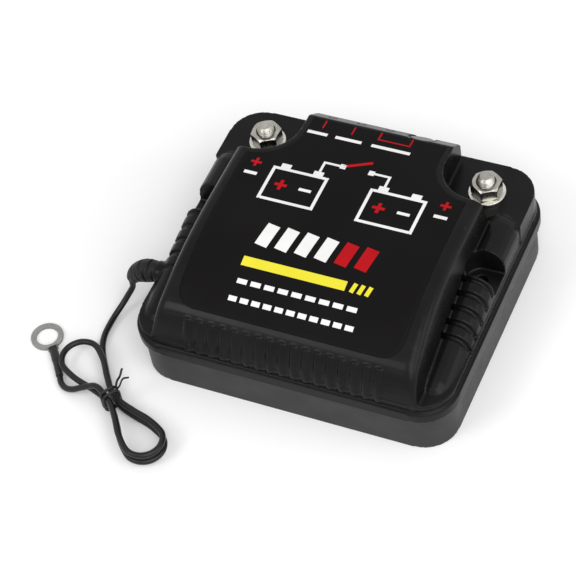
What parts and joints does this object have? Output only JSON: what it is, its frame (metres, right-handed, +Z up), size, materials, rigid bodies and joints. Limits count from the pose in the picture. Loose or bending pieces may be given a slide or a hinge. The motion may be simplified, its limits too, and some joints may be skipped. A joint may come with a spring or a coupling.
{
  "type": "battery isolator relay",
  "caption": "Black dual-battery isolator relay with a crowned ribbed housing, two terminal studs, indicator strip, reset button and a ground lead with ring terminal.",
  "frame": {"origin": "middle of the flat underside of the housing, on the surface it stands on", "axes": "+X from the main stud to the auxiliary stud, +Y towards the indicator strip at the rear, +Z up"},
  "size_m": [0.2127, 0.1861, 0.0604],
  "materials": {
    "tray_plastic": "fine textured black moulding",
    "cover_plastic": "satin black moulding",
    "gasket_rubber": "matte",
    "label_print": "printed film, matte black",
    "zinc_steel": "zinc plated",
    "nickel_steel": "nickel plated",
    "copper_bar": "rolled copper",
    "silver_contact": "silver faced",
    "relay_steel": "plain steel",
    "bobbin_nylon": "natural nylon",
    "coil_enamel": "enamelled copper wire",
    "spring_steel": "drawn wire",
    "board_green": "glass epoxy board",
    "chip_black": "epoxy",
    "capacitor_sleeve": "sleeved can",
    "ceramic": "ceramic body",
    "led_green": "tinted lens",
    "led_amber": "tinted lens",
    "led_red": "tinted lens",
    "switch_plastic": "moulded",
    "button_plastic": "satin",
    "boot_rubber": "ribbed soft moulding",
    "lead_jacket": "soft vinyl jacket",
    "sleeve_black": "shrunk sleeve",
    "tinned_copper": "tinned"
  },
  "bodies": {
    "root": {"base_tray": "tray_plastic", "top_cover": "cover_plastic", "tray_gasket": "gasket_rubber", "label_film": "label_print", "case_screws": "zinc_steel", "main_stud": "zinc_steel", "aux_stud": "zinc_steel", "main_busbar": "copper_bar", "aux_busbar": "copper_bar", "fixed_contacts": "silver_contact", "relay_frame": "relay_steel", "relay_core": "relay_steel", "coil_bobbin": "bobbin_nylon", "coil_winding": "coil_enamel", "relay_screws": "zinc_steel", "return_spring": "spring_steel", "circuit_board": "board_green", "power_resistor": "ceramic", "capacitors": "capacitor_sleeve", "control_chips": "chip_black", "board_screws": "zinc_steel", "indicator_board": "board_green", "indicator_screws": "zinc_steel", "power_led": "led_green", "charging_led": "led_amber", "override_led": "led_red", "tact_switch": "switch_plastic", "button_spring": "spring_steel", "strain_relief": "boot_rubber", "lead_cord": "lead_jacket", "lead_hank": "lead_jacket", "lead_tail": "lead_jacket", "lead_tie": "lead_jacket", "shrink_sleeve": "sleeve_black", "ring_terminal": "tinned_copper"},
    "armature": {"armature": "relay_steel", "contact_bridge": "copper_bar", "bridge_clip": "spring_steel"},
    "button": {"reset_button": "button_plastic"},
    "main_washer": {"main_washer": "nickel_steel"},
    "main_nut": {"main_nut": "nickel_steel"},
    "aux_washer": {"aux_washer": "nickel_steel"},
    "aux_nut": {"aux_nut": "nickel_steel"}
  },
  "joints": [
    {"name": "reset_press", "type": "slide", "parent": "root", "child": "button", "axis": [0, -0.6585, -0.7526], "range_m": [0, 0.0012], "stiffness_N_per_m": 900, "springref_m": -0.0006, "deforming": ["button_spring"]},
    {"name": "relay_pull", "type": "slide", "parent": "root", "child": "armature", "axis": [0, 0, -1], "range_m": [0, 0.0025], "stiffness_N_per_m": 700, "springref_m": -0.0025, "deforming": ["return_spring"]},
    {"name": "main_washer_lift", "type": "slide", "parent": "root", "child": "main_washer", "axis": [0, 0, 1], "range_m": [0, 0.0025]},
    {"name": "main_nut_turn", "type": "hinge", "parent": "main_washer", "child": "main_nut", "pos_m": [-0.055, 0.0485, 0.0438], "axis": [0, 0, 1], "range_deg": [0, 720]},
    {"name": "aux_washer_lift", "type": "slide", "parent": "root", "child": "aux_washer", "axis": [0, 0, 1], "range_m": [0, 0.0025]},
    {"name": "aux_nut_turn", "type": "hinge", "parent": "aux_washer", "child": "aux_nut", "pos_m": [0.055, 0.0485, 0.0438], "axis": [0, 0, 1], "range_deg": [0, 720]}
  ],
  "couplings": [
    {"joint": "main_nut_turn", "follows": "main_washer_lift", "rad_per_m": 5026.5},
    {"joint": "aux_nut_turn", "follows": "aux_washer_lift", "rad_per_m": 5026.5}
  ]
}
